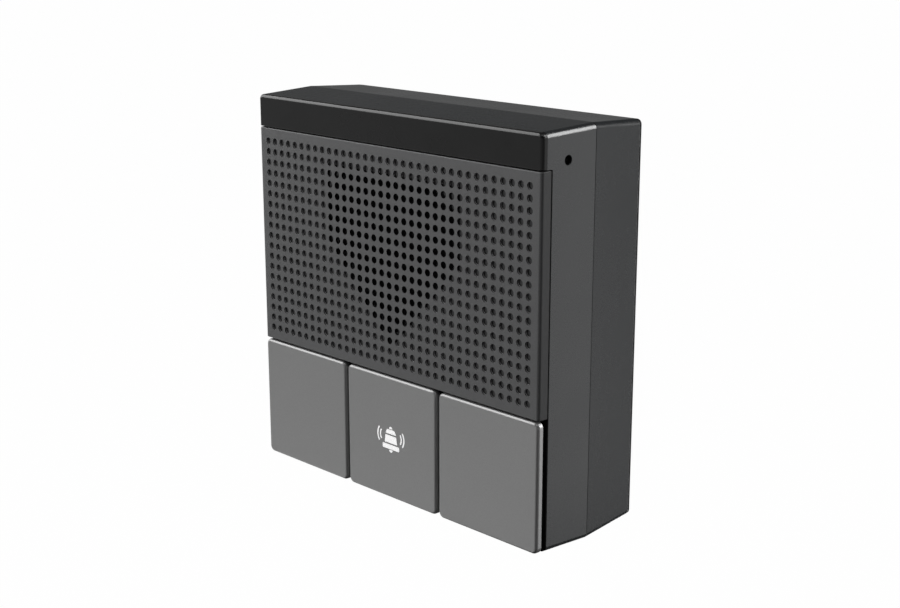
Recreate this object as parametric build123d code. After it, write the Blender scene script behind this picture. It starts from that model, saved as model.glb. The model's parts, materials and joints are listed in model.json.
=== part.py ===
from build123d import *
import os
from math import atan2, cos, degrees, radians, sin, sqrt

# IP intercom for a wall: a shallow square box with a perforated speaker front and three push keys.
# Millimetres, X to the right, Z up. The front faces -Y and the wall is the plane Y = 0.
# A depth called "out" is the distance from the wall towards the front.

# Outer form
face_width = 117.0
face_height = 116.0
body_depth = 40.6
crease_behind_face = 20.2
front_flare = 0.87
rear_taper = 1.05
corner_radius = 1.6
least_corner = 1.2
edge_radius = 0.9
rear_edge_radius = 0.3
wall = 2.0

# Front panels, the trim strip, the grille and the keys
trim_height = 9.7
trim_depth = 1.9
trim_gap = 0.4
trim_peg_radius = 1.5
trim_peg_length = 3.0
small_edge = 0.25
sheet = 0.6
grille_fit = 0.3
hole_diameter = 2.1
hole_pitch_x = 3.2
hole_pitch_z = 3.3
hole_margin_x = 4.0
hole_margin_z = 3.6
tab_width = 8.0
tab_reach = 1.2

# Push keys
key_height = 38.0
key_depth = 1.9
key_gap_above = 0.65
key_gap_between = 1.0
key_corner_radius = 1.8
key_travel = 1.1
key_stop_gap = 0.4
key_top_thickness = 1.3
key_rim = 1.6
leg_width = 8.0
leg_thickness = 1.6
leg_inset = 4.6
leg_fit = 0.2
barb_height = 1.4
barb_reach = 0.8
catch_gap = 0.05
plunger_radius = 2.5
plunger_fit = 0.5

# Bell pictogram in the middle key
bell_drop = 0.4
bell_depth = 0.4
bell_gap = 0.5
bell_knob_radius = 0.7
bell_shoulder_top = 3.3
bell_shoulder_bottom = 4.5
bell_shoulder_height = 1.35
bell_shoulder_round = 0.6
bell_body_top = 4.7
bell_body_bottom = 5.4
bell_body_height = 2.35
bell_rim_width = 7.2
bell_rim_height = 1.45
bell_rim_round = 0.3
bell_clapper_radius = 0.75
bell_arc_width = 0.5
bell_arc_centre_x = 2.1
bell_arc_centre_z = 0.9
bell_arcs = [(2.45, 36), (3.6, 37)]

# Key board and its silicone domes
board_thickness = 1.6
key_board_standoff = 4.6
key_board_width = 95.0
key_board_height = 31.0
key_boss_radius = 3.0
key_boss_spread = 24.0
dome_height = 3.5
dome_top_gap = 0.05
dome_base_radius = 6.5
dome_base_thickness = 0.6
dome_foot_radius = 5.0
dome_top_radius = 3.0
dome_wall = 0.6
led_size = 3.0
led_height = 1.2
led_spacing = 20.0

# Speaker window in the front housing
window_half_width = 28.1
window_top = 25.6
window_hip = 3.3
window_shoulder = 14.0
window_hip_radius = 8.0
window_throat_inset = 2.5

# Speaker
speaker_size = 64.0
speaker_corner = 6.0
speaker_hole_spacing = 56.0
speaker_bore = 27.5
chamber_radius = 30.5
cloth_thickness = 0.3
speaker_gasket_thickness = 0.8
flange_thickness = 1.5
basket_depth = 6.3
basket_wall = 1.2
basket_floor_radius = 16.0
surround_roll = 1.5
surround_skin = 0.4
surround_lip = 2.2
cone_skin = 0.5
coil_radius = 10.2
coil_wall = 0.5
coil_gap = 0.5
cap_rise = 3.0
cap_skin = 0.4
neck_above_floor = 2.2
coil_clear_of_cup = 0.8
spider_skin = 0.4
spider_above_floor = 1.2
spider_wave = 0.3
spider_folds = 8
basket_window = 16.0
basket_window_margin = 1.0
magnet_radius = 9.2
magnet_height = 2.0
pole_height = 1.2
cup_radius = 15.0
cup_floor = 1.8
glue_gap = 0.05
strip_width = 5.0
strip_height = 6.0
strip_thickness = 1.2

# Seam between the two housings
tongue_length = 1.5
tongue_inset = 1.0
tongue_fit = 0.15
seam_gasket_thickness = 0.6

# Wall plate, its hooks and its lock
plate_thickness = 2.0
plate_flange = 0.5
plate_flange_inset = 0.1
plate_seam = 0.1
plate_rim = 1.2
plate_fit = 0.3
wall_screw_spacing = 60.3
wall_screw_hole_radius = 2.1
cable_hole_width = 48.0
cable_hole_height = 26.0
cable_hole_corner = 3.0
hook_width = 5.0
hook_post = 2.5
hook_lip = 2.5
hook_lip_thickness = 1.5
hook_fit = 0.3
hook_x = 44.0
hook_upper_z = 28.0
hook_lower_z = -38.0
lock_tab_width = 8.0
lock_tab_thickness = 2.6
lock_tab_length = 10.0
lock_screw_out = 8.0
lock_gap = 0.2
lock_head_radius = 2.7
lock_head_height = 1.5
lock_recess = 1.7

# Cable recess in the rear housing
recess_half_width = 36.0
recess_bottom_z = -44.0
recess_top_z = -9.0
recess_depth = 14.5
recess_wall = 1.6

# Main board and what stands on it
main_board_width = 93.0
main_board_top_z = 50.0
magnet_to_board = 1.0
board_edge_gap = 0.8
post_radius = 3.0
post_inset = 3.5
jack_x = -20.0
jack_width = 16.0
jack_height = 11.5
jack_length = 21.0
jack_wall = 1.8
jack_mouth_depth = 14.0
jack_fit = 0.3
contact_count = 8
contact_pitch = 1.02
contact_size = 0.5
terminal_height = 8.6
terminal_length = 10.0
terminal_entry = 2.6
terminal_entry_depth = 6.0
terminal_release = 1.4
power_terminal_x = 0.0
power_pitch = 5.08
power_ways = 2
relay_terminal_x = 20.0
relay_pitch = 3.81
relay_ways = 4
can_size = 24.0
can_height = 3.2
can_wall = 0.4
can_x = -22.0
can_z = 32.0
chip_size = 14.0
chip_height = 1.4
transformer_x = 4.0
transformer_z = 12.0
transformer_width = 12.7
transformer_length = 7.0
transformer_height = 6.0
inductor_x = 16.0
inductor_z = 30.0
inductor_size = 10.0
inductor_height = 4.8
capacitor_x = 33.0
capacitor_z = 14.0
capacitor_spacing = 11.0
capacitor_radius = 4.0
capacitor_height = 10.0
capacitor_crimp = 0.4

# Connectors, ribbon and leads
ribbon_x = -31.0
ribbon_width = 10.0
ribbon_thickness = 0.3
ribbon_bend = 3.0
ribbon_rise = 6.0
ribbon_fit = 0.1
ribbon_tuck = 2.0
connector_margin = 1.2
connector_height = 2.0
connector_length = 4.0
plug_width = 6.0
plug_length = 4.0
plug_height = 4.6
lead_radius = 0.6
lead_spacing = 2.4
lead_bend = 1.6
lead_drop = 3.4
speaker_plug_x = -42.0
speaker_plug_above = 10.0
mic_plug_x = 41.0
mic_plug_z = 38.0

# Microphone in the right wall
mic_behind_face = 9.6
mic_below_top = 7.9
mic_port_radius = 1.2
mic_port_chamfer = 0.2
mic_radius = 3.0
mic_length = 2.7
boot_front = 0.8
mic_lead_spacing = 2.0
boot_wall = 1.4
boot_length = 4.6
cup_skin = 1.2
boot_fit = 0.05

# Screws
housing_screw_x = 51.5
housing_screw_top_z = 38.0
housing_screw_bottom_z = -51.0
housing_screw_radius = 1.45
housing_screw_head_radius = 2.8
housing_screw_head_height = 2.0
housing_screw_grip = 12.0
housing_screw_sink = 6.0
front_boss_radius = 3.6
rear_boss_radius = 4.5
small_screw_radius = 0.95
small_screw_head_radius = 1.9
small_screw_head_height = 1.2
small_screw_grip = 2.4
thread_gap = 0.05
shank_fit = 0.25
head_fit = 0.3
drive_width = 0.5
drive_depth = 0.7

# Places that follow from the sizes
top_z = face_height / 2
bottom_z = -face_height / 2
crease_out = body_depth - crease_behind_face
deck_out = body_depth - key_depth - key_travel - key_stop_gap
deck_back = deck_out - wall
trim_back = body_depth - trim_depth
trim_bottom = top_z - trim_height
grille_top = trim_bottom - trim_gap
key_top = bottom_z + key_height
grille_bottom = key_top + key_gap_above
grille_height = grille_top - grille_bottom
grille_z = (grille_top + grille_bottom) / 2
platform_out = body_depth - sheet
platform_back = platform_out - wall
platform_width = face_width - 2 * (sheet + grille_fit)
platform_height = grille_height - 2 * (sheet + grille_fit)
key_back = body_depth - key_depth
key_ceiling = body_depth - key_top_thickness
key_width = (face_width - 2 * key_gap_between) / 3
key_pitch = key_width + key_gap_between
key_z = bottom_z + key_height / 2
leg_offset = key_height / 2 - leg_inset
key_board_front = deck_back - key_board_standoff
key_board_back = key_board_front - board_thickness
plunger_end = key_board_front + dome_height + dome_top_gap
flange_front = deck_back - speaker_gasket_thickness
flange_back = flange_front - flange_thickness
basket_floor = flange_back - basket_depth
cup_front = basket_floor - basket_wall
cup_back = cup_front - magnet_height - pole_height - cup_floor
main_board_front = cup_back - magnet_to_board
main_board_back = main_board_front - board_thickness
main_board_bottom_z = recess_top_z + recess_wall + board_edge_gap
rear_wall_out = plate_thickness + wall
rear_rim_out = plate_flange + plate_seam
recess_floor = plate_thickness + recess_depth
recess_z = (recess_bottom_z + recess_top_z) / 2
front_draft = degrees(atan2(front_flare, crease_behind_face))
rear_draft = degrees(atan2(rear_taper, crease_out - rear_rim_out))
mic_out = body_depth - mic_behind_face
mic_z = top_z - mic_below_top
boot_radius = mic_radius + boot_wall
cone_radius = speaker_bore - 2 * surround_roll
coil_outer = coil_radius + coil_wall


def growth_at(out):
    # How far each side stands outside the face's outline at this depth.
    if out >= crease_out:
        return front_flare * (body_depth - out) / crease_behind_face
    return front_flare - rear_taper * (crease_out - out) / (crease_out - rear_rim_out)


def bar(x0, x1, out0, out1, z0, z1):
    centre = Pos((x0 + x1) / 2, -(out0 + out1) / 2, (z0 + z1) / 2)
    return centre * Box(x1 - x0, out1 - out0, z1 - z0)


def block(width, height, out0, out1, x=0.0, z=0.0):
    return bar(x - width / 2, x + width / 2, out0, out1, z - height / 2, z + height / 2)


def slab(width, height, corner, out0, out1, x=0.0, z=0.0):
    face = Plane.XZ.offset(out0) * Pos(x, z) * RectangleRounded(width, height, corner)
    return extrude(face, amount=out1 - out0)


def rod(radius, out0, out1, x=0.0, z=0.0):
    return Pos(x, -(out0 + out1) / 2, z) * Rot(90, 0, 0) * Cylinder(radius, out1 - out0)


def tube(radius, bore, out0, out1, x=0.0, z=0.0):
    return rod(radius, out0, out1, x, z) - rod(bore, out0, out1, x, z)


def cone_between(radius0, radius1, out0, out1, x=0.0, z=0.0):
    # A solid cone whose radius goes from radius0 at out0 to radius1 at out1.
    return Pos(x, -(out0 + out1) / 2, z) * Rot(90, 0, 0) * Cone(radius0, radius1, out1 - out0)


def cross_rod(radius, x0, x1, out, z):
    return Pos((x0 + x1) / 2, -out, z) * Rot(0, 90, 0) * Cylinder(radius, x1 - x0)


def upright_rod(radius, z0, z1, x, out):
    return Pos(x, -out, (z0 + z1) / 2) * Cylinder(radius, z1 - z0)


def turned(profile, x=0.0, z=0.0):
    # A ring or disc from (radius, out) points, turned about the line through x and z towards the front.
    points = [(radius, -out) for radius, out in profile]
    return Pos(x, 0, z) * revolve(make_face(Polyline(*points, close=True)), Axis.Y)


def spots(half_x, half_z, x=0.0, z=0.0):
    return [(x + side * half_x, z + level * half_z) for side in (-1, 1) for level in (-1, 1)]


def joined(solids):
    return Compound(children=[s for shape in solids for s in shape.solids()])


def tapered_block(plane, growth, length, draft):
    # A box whose four long edges have the same radius all the way, and which narrows along its length.
    outline = Rectangle(face_width + 2 * growth, face_height + 2 * growth)
    form = extrude(plane * outline, amount=length, taper=draft)
    long_edges = [edge for edge in form.edges() if abs((edge @ 0).Y - (edge @ 1).Y) > length / 2]
    return fillet(long_edges, corner_radius)


def tapered_hollow(plane, growth, length, draft):
    width = face_width + 2 * (growth - wall)
    height = face_height + 2 * (growth - wall)
    corner = max(corner_radius - wall, least_corner)
    return extrude(plane * RectangleRounded(width, height, corner), amount=length, taper=draft)


def facing_wall(out):
    return Plane(origin=(0, -out, 0), x_dir=(1, 0, 0), z_dir=(0, 1, 0))


def front_block(out0, out1):
    return tapered_block(Plane.XZ.offset(out0), growth_at(out0), out1 - out0, front_draft)


def front_hollow(out0, out1):
    return tapered_hollow(Plane.XZ.offset(out0), growth_at(out0), out1 - out0, front_draft)


def rear_block(out0, out1):
    return tapered_block(facing_wall(out1), growth_at(out1), out1 - out0, rear_draft)


def rear_hollow(out0, out1):
    return tapered_hollow(facing_wall(out1), growth_at(out1), out1 - out0, rear_draft)


def outline_slab(out0, out1, growth, inset):
    # A plain slab set in from the outline that stands this growth outside the face's.
    corner = max(corner_radius - inset, least_corner)
    width = face_width + 2 * (growth - inset)
    height = face_height + 2 * (growth - inset)
    return slab(width, height, corner, out0, out1)


def seam_slab(out0, out1, inset):
    return outline_slab(out0, out1, front_flare, inset)


def plate_slab(out0, out1, inset):
    return outline_slab(out0, out1, growth_at(rear_rim_out), inset)


def panel(width, height, corner, out0, x, z):
    # A front panel that tapers to its stated size at the face, as the housing's sides do.
    growth = growth_at(out0)
    outline = Rectangle(width + 2 * growth, height + 2 * growth)
    if corner:
        outline = RectangleRounded(width + 2 * growth, height + 2 * growth, corner + growth)
    face = Plane.XZ.offset(out0) * Pos(x, z) * outline
    return extrude(face, amount=body_depth - out0, taper=front_draft)


def face_edges(shape):
    return shape.faces().sort_by(Axis.Y)[0].edges()


def screw(x, z, seat, tip, radius, head_radius, head_height):
    # A screw along the depth: the head is on the far side of the seat from the tip.
    way = 1 if tip > seat else -1
    end = seat - way * head_height
    shank = rod(radius, min(seat, tip), max(seat, tip), x, z)
    head = rod(head_radius, min(seat, end), max(seat, end), x, z)
    floor = end + way * drive_depth
    low, high = min(end, floor), max(end, floor)
    cross = block(head_radius * 1.2, drive_width, low, high, x, z)
    cross += block(drive_width, head_radius * 1.2, low, high, x, z)
    return shank + head - cross


def small_screw(x, z, seat, way, through):
    # A board or speaker screw, through what it clamps and on into its boss.
    tip = seat + way * (through + small_screw_grip)
    return screw(x, z, seat, tip, small_screw_radius, small_screw_head_radius, small_screw_head_height)


def pilot(x, z, seat, way):
    depth = seat + way * (small_screw_grip + wall / 2)
    return rod(small_screw_radius + thread_gap, min(seat, depth), max(seat, depth), x, z)


key_places = {"left_key": -key_pitch, "middle_key": 0.0, "right_key": key_pitch}
key_boss_spots = spots(key_pitch / 2, key_boss_spread / 2, 0.0, key_z)
speaker_spots = spots(speaker_hole_spacing / 2, speaker_hole_spacing / 2, 0.0, grille_z)
housing_spots = [
    (side * housing_screw_x, z) for side in (-1, 1) for z in (housing_screw_bottom_z, housing_screw_top_z)
]
board_z = (main_board_top_z + main_board_bottom_z) / 2
board_height = main_board_top_z - main_board_bottom_z
board_spots = spots(main_board_width / 2 - post_inset, board_height / 2 - post_inset, 0.0, board_z)
hook_spots = [(side * hook_x, z) for side in (-1, 1) for z in (hook_upper_z, hook_lower_z)]
trim_peg_xs = [-face_width / 3, 0.0, face_width / 3]
trim_z = (top_z + trim_bottom) / 2
tab_xs = [-face_width / 4, face_width / 4]


def window_outline(inset):
    # A shield: a flat top with round shoulders, upright sides, and a right-angled point below.
    half = window_half_width - inset
    top = window_top - inset
    point = window_hip - window_half_width + inset * sqrt(2)
    hip = point + half
    corners = [(-half, top), (half, top), (half, hip), (0, point), (-half, hip)]
    shield = Sketch() + make_face(Polyline(*corners, close=True))
    shield = fillet(shield.vertices().sort_by(Axis.Y)[-2:], window_shoulder - inset)
    hips = shield.vertices().filter_by(lambda v: abs(v.Y - hip) + abs(abs(v.X) - half) < small_edge)
    return fillet(hips, window_hip_radius - inset)


def make_front_housing():
    shell = front_block(crease_out, trim_back)
    shell -= bar(-face_width, face_width, deck_out, trim_back, -face_height, trim_bottom)
    shell -= front_hollow(crease_out, deck_back)
    shell += seam_slab(crease_out - tongue_length, crease_out, tongue_inset) - seam_slab(
        crease_out - tongue_length, crease_out, wall
    )
    platform = block(platform_width, platform_height, deck_back, platform_out, 0, grille_z)
    inner_width = platform_width - 2 * wall
    inner_height = platform_height - 2 * wall
    hollow = block(inner_width, inner_height, deck_back, platform_back, 0, grille_z)
    speaker_seat = slab(speaker_size, speaker_size, speaker_corner, deck_back, platform_back, 0, grille_z)
    shell += platform
    shell -= hollow
    shell += speaker_seat & platform
    shell -= rod(chamber_radius, deck_back, platform_back, 0, grille_z)
    mouth = Plane.XZ.offset(platform_out) * Pos(0, grille_z) * window_outline(0)
    throat = Plane.XZ.offset(platform_back) * Pos(0, grille_z) * window_outline(window_throat_inset)
    shell -= loft([mouth, throat], ruled=True)
    shell = add_front_bosses(shell)
    shell = cut_key_openings(shell)
    return add_mic_cup(shell)


def add_front_bosses(shell):
    for x, z in key_boss_spots:
        shell += rod(key_boss_radius, key_board_front, deck_back, x, z)
        shell -= pilot(x, z, key_board_front, 1)
    for x, z in speaker_spots:
        shell -= pilot(x, z, deck_back, 1)
    for x, z in housing_spots:
        root = platform_back if z > grille_bottom else deck_back
        shell += rod(front_boss_radius, crease_out, root, x, z)
        shell -= rod(
            housing_screw_radius + thread_gap, crease_out, crease_out + housing_screw_grip + wall / 2, x, z
        )
    for x in trim_peg_xs:
        shell -= rod(trim_peg_radius + leg_fit, trim_back - trim_peg_length - leg_fit, trim_back, x, trim_z)
    for low, high in grille_tab_bands():
        for x in tab_xs:
            shell -= bar(
                x - tab_width / 2 - leg_fit,
                x + tab_width / 2 + leg_fit,
                deck_out - tab_reach - leg_fit,
                deck_out,
                low - leg_fit,
                high + leg_fit,
            )
    return shell


def cut_key_openings(shell):
    for x in key_places.values():
        shell -= rod(plunger_radius + plunger_fit, deck_back, deck_out, x, key_z)
        for side in (-1, 1):
            shell -= block(
                leg_width + 2 * leg_fit,
                leg_thickness + 2 * leg_fit,
                deck_back,
                deck_out,
                x,
                key_z + side * leg_offset,
            )
    return shell


def mic_wall():
    # The X of the right wall's outer and inner faces at the microphone's depth.
    outer = face_width / 2 + growth_at(mic_out)
    return outer, outer - wall


def add_mic_cup(shell):
    outer, inner = mic_wall()
    cup = cross_rod(boot_radius + boot_fit + cup_skin, inner - boot_length, inner + wall / 2, mic_out, mic_z)
    shell += cup
    shell -= cross_rod(boot_radius + boot_fit, inner - boot_length, inner, mic_out, mic_z)
    shell -= cross_rod(mic_port_radius, inner, outer + wall, mic_out, mic_z)
    mouth = Cone(mic_port_radius, mic_port_radius + 2 * mic_port_chamfer, 2 * mic_port_chamfer)
    return shell - Pos(outer, -mic_out, mic_z) * Rot(0, 90, 0) * mouth


def grille_tab_bands():
    return [(grille_bottom, grille_bottom + sheet), (grille_top - sheet, grille_top)]


def make_speaker_grille():
    pan = panel(face_width, grille_height, 0, deck_out, 0, grille_z)
    upright = face_edges(pan).filter_by(Axis.Z)
    pan = fillet(upright, edge_radius)
    pan = fillet(face_edges(pan).filter_by(Axis.X), small_edge)
    growth = growth_at(deck_out) - sheet
    inside = Rectangle(face_width + 2 * growth, grille_height + 2 * growth)
    inside = Plane.XZ.offset(deck_out) * Pos(0, grille_z) * inside
    pan -= extrude(inside, amount=platform_out - deck_out, taper=front_draft)
    for low, high in grille_tab_bands():
        for x in tab_xs:
            pan += bar(x - tab_width / 2, x + tab_width / 2, deck_out - tab_reach, deck_out, low, high)
    margin_x = hole_margin_x - hole_diameter
    margin_z = hole_margin_z - hole_diameter
    field_width = face_width - 2 * margin_x
    field_height = grille_height - 2 * margin_z
    columns = int((face_width - 2 * hole_margin_x) / hole_pitch_x) + 1
    rows = int((grille_height - 2 * hole_margin_z) / hole_pitch_z) + 1
    holes = GridLocations(hole_pitch_x, hole_pitch_z, columns, rows) * Circle(hole_diameter / 2)
    field = Plane.XZ.offset(platform_out) * Pos(0, grille_z) * (Rectangle(field_width, field_height) - holes)
    pan -= block(field_width, field_height, platform_out, body_depth, 0, grille_z)
    return pan + extrude(field, amount=sheet)


def make_top_trim():
    trim = panel(face_width, trim_height, 0, trim_back, 0, trim_z)
    upright = [edge for edge in trim.edges() if edge.length < 2 * trim_depth]
    trim = fillet([edge for edge in upright if edge.center().Z > trim_z], corner_radius)
    lower = face_edges(trim).sort_by(Axis.Z)[0]
    rest = [edge for edge in face_edges(trim) if edge.center().Z > lower.center().Z + small_edge]
    trim = fillet(rest, edge_radius)
    trim = fillet(face_edges(trim).sort_by(Axis.Z)[0], small_edge)
    for x in trim_peg_xs:
        trim += rod(trim_peg_radius, trim_back - trim_peg_length, trim_back, x, trim_z)
    return trim


def make_key(x):
    cap = panel(key_width, key_height, key_corner_radius, key_back, x, key_z)
    cap = fillet(face_edges(cap), edge_radius)
    cap -= slab(
        key_width - 2 * key_rim, key_height - 2 * key_rim, key_corner_radius, key_back, key_ceiling, x, key_z
    )
    cap += rod(plunger_radius, plunger_end, key_ceiling, x, key_z)
    for side in (-1, 1):
        cap += make_leg(x, side)
    return cap


def make_leg(x, side):
    # A flat guide leg whose barb catches behind the deck.
    catch = deck_back - catch_gap
    end = catch - barb_height
    z = key_z + side * leg_offset
    leg = block(leg_width, leg_thickness, end, key_ceiling, x, z)
    face_z = z + side * leg_thickness / 2
    corners = [(-catch, face_z), (-catch, face_z + side * barb_reach), (-end, face_z)]
    barb = make_face(Plane.YZ.offset(x) * Polyline(*corners, close=True))
    return leg + extrude(barb, amount=leg_width / 2, both=True)


def sound_arc(radius, half_angle):
    ring = Circle(radius + bell_arc_width / 2) - Circle(radius - bell_arc_width / 2)
    run = 2 * radius * cos(radians(half_angle))
    rise = 2 * radius * sin(radians(half_angle))
    fan = make_face(Polyline((0, 0), (run, -rise), (run, rise), close=True))
    return Pos(bell_arc_centre_x, bell_arc_centre_z) * (ring & fan)


def half_disc(radius, z, way):
    return Pos(0, z) * (Circle(radius) & Pos(0, way * radius) * Rectangle(2 * radius, 2 * radius))


def tapered_band(top_width, bottom_width, top, bottom):
    upper = [(top_width / 2, top), (-top_width / 2, top)]
    lower = [(-bottom_width / 2, bottom), (bottom_width / 2, bottom)]
    return Sketch() + make_face(Polyline(*lower, *upper, close=True))


def bell_outline():
    # A plain ringing bell: knob, shoulder, body, rim and clapper, with two sound arcs on each side.
    body_top = bell_body_height / 2
    shoulder_bottom = body_top + bell_gap
    shoulder_top = shoulder_bottom + bell_shoulder_height
    rim_top = -body_top - bell_gap
    rim_bottom = rim_top - bell_rim_height
    shoulder = tapered_band(bell_shoulder_top, bell_shoulder_bottom, shoulder_top, shoulder_bottom)
    shoulder = fillet(shoulder.vertices().sort_by(Axis.Y)[-2:], bell_shoulder_round)
    body = tapered_band(bell_body_top, bell_body_bottom, body_top, -body_top)
    rim = RectangleRounded(bell_rim_width, bell_rim_height, bell_rim_round)
    rim = Pos(0, (rim_top + rim_bottom) / 2) * rim
    knob = half_disc(bell_knob_radius, shoulder_top + bell_gap / 2, 1)
    clapper = half_disc(bell_clapper_radius, rim_bottom - bell_gap / 2, -1)
    shapes = [shoulder, body, rim, knob, clapper]
    for radius, half_angle in bell_arcs:
        arc = sound_arc(radius, half_angle)
        shapes += [arc, mirror(arc, Plane.YZ)]
    return shapes


def make_bell_inlay():
    base = Plane.XZ.offset(body_depth - bell_depth) * Pos(0, key_z - bell_drop)
    return joined([extrude(base * shape, amount=bell_depth) for shape in bell_outline()])


def make_dome(x):
    top = key_board_front + dome_height
    skirt = key_board_front + dome_base_thickness
    outside = cone_between(dome_foot_radius, dome_top_radius, skirt, top, x, key_z)
    inside = cone_between(
        dome_foot_radius - dome_wall, dome_top_radius - dome_wall, key_board_front, top - dome_wall, x, key_z
    )
    return rod(dome_base_radius, key_board_front, skirt, x, key_z) + outside - inside


def make_key_board():
    board = block(key_board_width, key_board_height, key_board_back, key_board_front, 0, key_z)
    for x, z in key_boss_spots:
        board -= rod(small_screw_radius + shank_fit, key_board_back, key_board_front, x, z)
    return board


def make_bell_leds():
    top = key_board_front + led_height
    leds = []
    for side in (-1, 1):
        led = block(led_size, led_size, key_board_front, top, side * led_spacing / 2, key_z)
        leds.append(chamfer(face_edges(led), led_height / 4))
    return joined(leds)


def make_speaker_gasket():
    ring = slab(speaker_size, speaker_size, speaker_corner, flange_front, deck_back, 0, grille_z)
    ring -= rod(chamber_radius, flange_front, deck_back, 0, grille_z)
    for x, z in speaker_spots:
        ring -= rod(small_screw_radius + shank_fit, flange_front, deck_back, x, z)
    return ring


def make_speaker_frame():
    flange = slab(speaker_size, speaker_size, speaker_corner, flange_back, flange_front, 0, grille_z)
    flange -= rod(speaker_bore, flange_back, flange_front, 0, grille_z)
    for x, z in speaker_spots:
        flange -= rod(small_screw_radius + shank_fit, flange_back, flange_front, x, z)
    profile = [
        (speaker_bore, flange_back),
        (speaker_bore + basket_wall, flange_back),
        (basket_floor_radius, cup_front),
        (coil_outer + coil_gap, cup_front),
        (coil_outer + coil_gap, basket_floor),
        (basket_floor_radius - basket_wall, basket_floor),
    ]
    basket = turned(profile, 0, grille_z)
    low = basket_floor + spider_above_floor + basket_window_margin
    high = flange_back - basket_window_margin
    opening = bar(basket_floor_radius, speaker_size, low, high, -basket_window / 2, basket_window / 2)
    for turn in (45, 135, 225, 315):
        basket -= Pos(0, 0, grille_z) * Rot(0, turn, 0) * opening
    return flange + basket


def make_speaker_surround():
    centre = (speaker_bore - surround_roll, -flange_front)
    roll = Circle(surround_roll) - Circle(surround_roll - surround_skin)
    roll &= Pos(0, -surround_roll) * Rectangle(4 * surround_roll, 2 * surround_roll)
    ring = Pos(0, 0, grille_z) * revolve(Pos(*centre) * roll, Axis.Y)
    lip_outer = speaker_bore + surround_lip
    lip_inner = speaker_bore - surround_skin
    return ring + tube(lip_outer, lip_inner, flange_front, flange_front + surround_skin, 0, grille_z)


def make_speaker_cone():
    neck = basket_floor + neck_above_floor
    inner = coil_outer + glue_gap
    outer = cone_radius + surround_skin
    upper = [(inner, neck), (outer, flange_front)]
    lower = [(outer, flange_front - cone_skin), (inner, neck - cone_skin)]
    return turned(upper + lower, 0, grille_z)


def make_dust_cap():
    base = basket_floor + neck_above_floor + glue_gap
    ball = (coil_outer**2 + cap_rise**2) / (2 * cap_rise)
    centre = Pos(0, -(base + cap_rise - ball), grille_z)
    shell = centre * Sphere(ball) - centre * Sphere(ball - cap_skin)
    return shell & rod(ball, base, base + 2 * cap_rise, 0, grille_z)


def make_spider():
    middle = basket_floor + spider_above_floor
    low = middle - spider_wave - spider_skin
    slope = (speaker_bore - basket_floor_radius + basket_wall) / basket_depth
    inner = coil_outer + glue_gap
    outer = basket_floor_radius - basket_wall + slope * (low - basket_floor) - glue_gap
    step = (outer - inner) / spider_folds
    radii = [inner + i * step for i in range(spider_folds + 1)]
    outs = [middle + spider_wave * (-1) ** i for i in range(spider_folds + 1)]
    upper = list(zip(radii, outs))
    lower = [(radius, out - spider_skin) for radius, out in reversed(upper)]
    return turned(upper + lower, 0, grille_z)


def make_voice_coil():
    start = cup_back + cup_floor + coil_clear_of_cup
    return tube(coil_outer, coil_radius, start, basket_floor + neck_above_floor, 0, grille_z)


def make_magnet_cup():
    cup = rod(cup_radius, cup_back, cup_front, 0, grille_z)
    return cup - rod(coil_outer + coil_gap, cup_back + cup_floor, cup_front, 0, grille_z)


def make_magnet():
    start = cup_back + cup_floor
    return rod(magnet_radius, start, start + magnet_height, 0, grille_z)


def make_pole_plate():
    return rod(coil_radius - coil_gap, cup_front - pole_height, cup_front, 0, grille_z)


strip_x = -(speaker_size - strip_width) / 2 + small_edge
strip_z = grille_z + speaker_hole_spacing / 2 - small_screw_head_radius - connector_margin - strip_height / 2


def make_terminal_strip():
    return block(strip_width, strip_height, flange_back - strip_thickness, flange_back, strip_x, strip_z)


def lead(points):
    path = FilletPolyline(*[(x, -out, z) for x, out, z in points], radius=lead_bend)
    return sweep(Plane(origin=path @ 0, z_dir=path % 0) * Circle(lead_radius), path=path)


def make_speaker_leads():
    start = flange_back - strip_thickness
    end = main_board_front + plug_height
    wires = []
    for side in (-1, 1):
        z0 = strip_z + side * lead_spacing / 2
        z1 = grille_z + speaker_plug_above + side * lead_spacing / 2
        wires.append(lead([
            (strip_x, start, z0),
            (strip_x, start - lead_drop, z0),
            (speaker_plug_x, end + lead_drop, z1),
            (speaker_plug_x, end, z1),
        ]))
    return joined(wires)


def make_microphone_leads():
    outer, inner = mic_wall()
    start = inner - boot_front - mic_length
    end = main_board_front + plug_height
    wires = []
    for side in (-1, 1):
        z0 = mic_z + side * mic_lead_spacing / 2
        z1 = mic_plug_z + side * lead_spacing / 2
        wires.append(lead([
            (start, mic_out, z0),
            (start - lead_drop, mic_out, z0),
            (mic_plug_x, end + lead_drop, z1),
            (mic_plug_x, end, z1),
        ]))
    return joined(wires)


def make_plug(x, z):
    top = main_board_front + plug_height
    plug = block(plug_width, plug_length + lead_spacing, main_board_front, top, x, z)
    return chamfer(face_edges(plug), small_edge)


def make_main_board():
    board = block(main_board_width, board_height, main_board_back, main_board_front, 0, board_z)
    for x, z in board_spots:
        board -= rod(small_screw_radius + shank_fit, main_board_back, main_board_front, x, z)
    return board


def jack_limits(margin=0.0):
    low = main_board_back - jack_height
    return (jack_x - jack_width / 2 - margin, jack_x + jack_width / 2 + margin, low - margin, main_board_back)


def make_ethernet_jack():
    x0, x1, back, front = jack_limits()
    body = bar(x0, x1, back, front, recess_top_z, recess_top_z + jack_length)
    return body - bar(
        x0 + jack_wall,
        x1 - jack_wall,
        back + jack_wall,
        front - jack_wall,
        recess_top_z,
        recess_top_z + jack_mouth_depth,
    )


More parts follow.
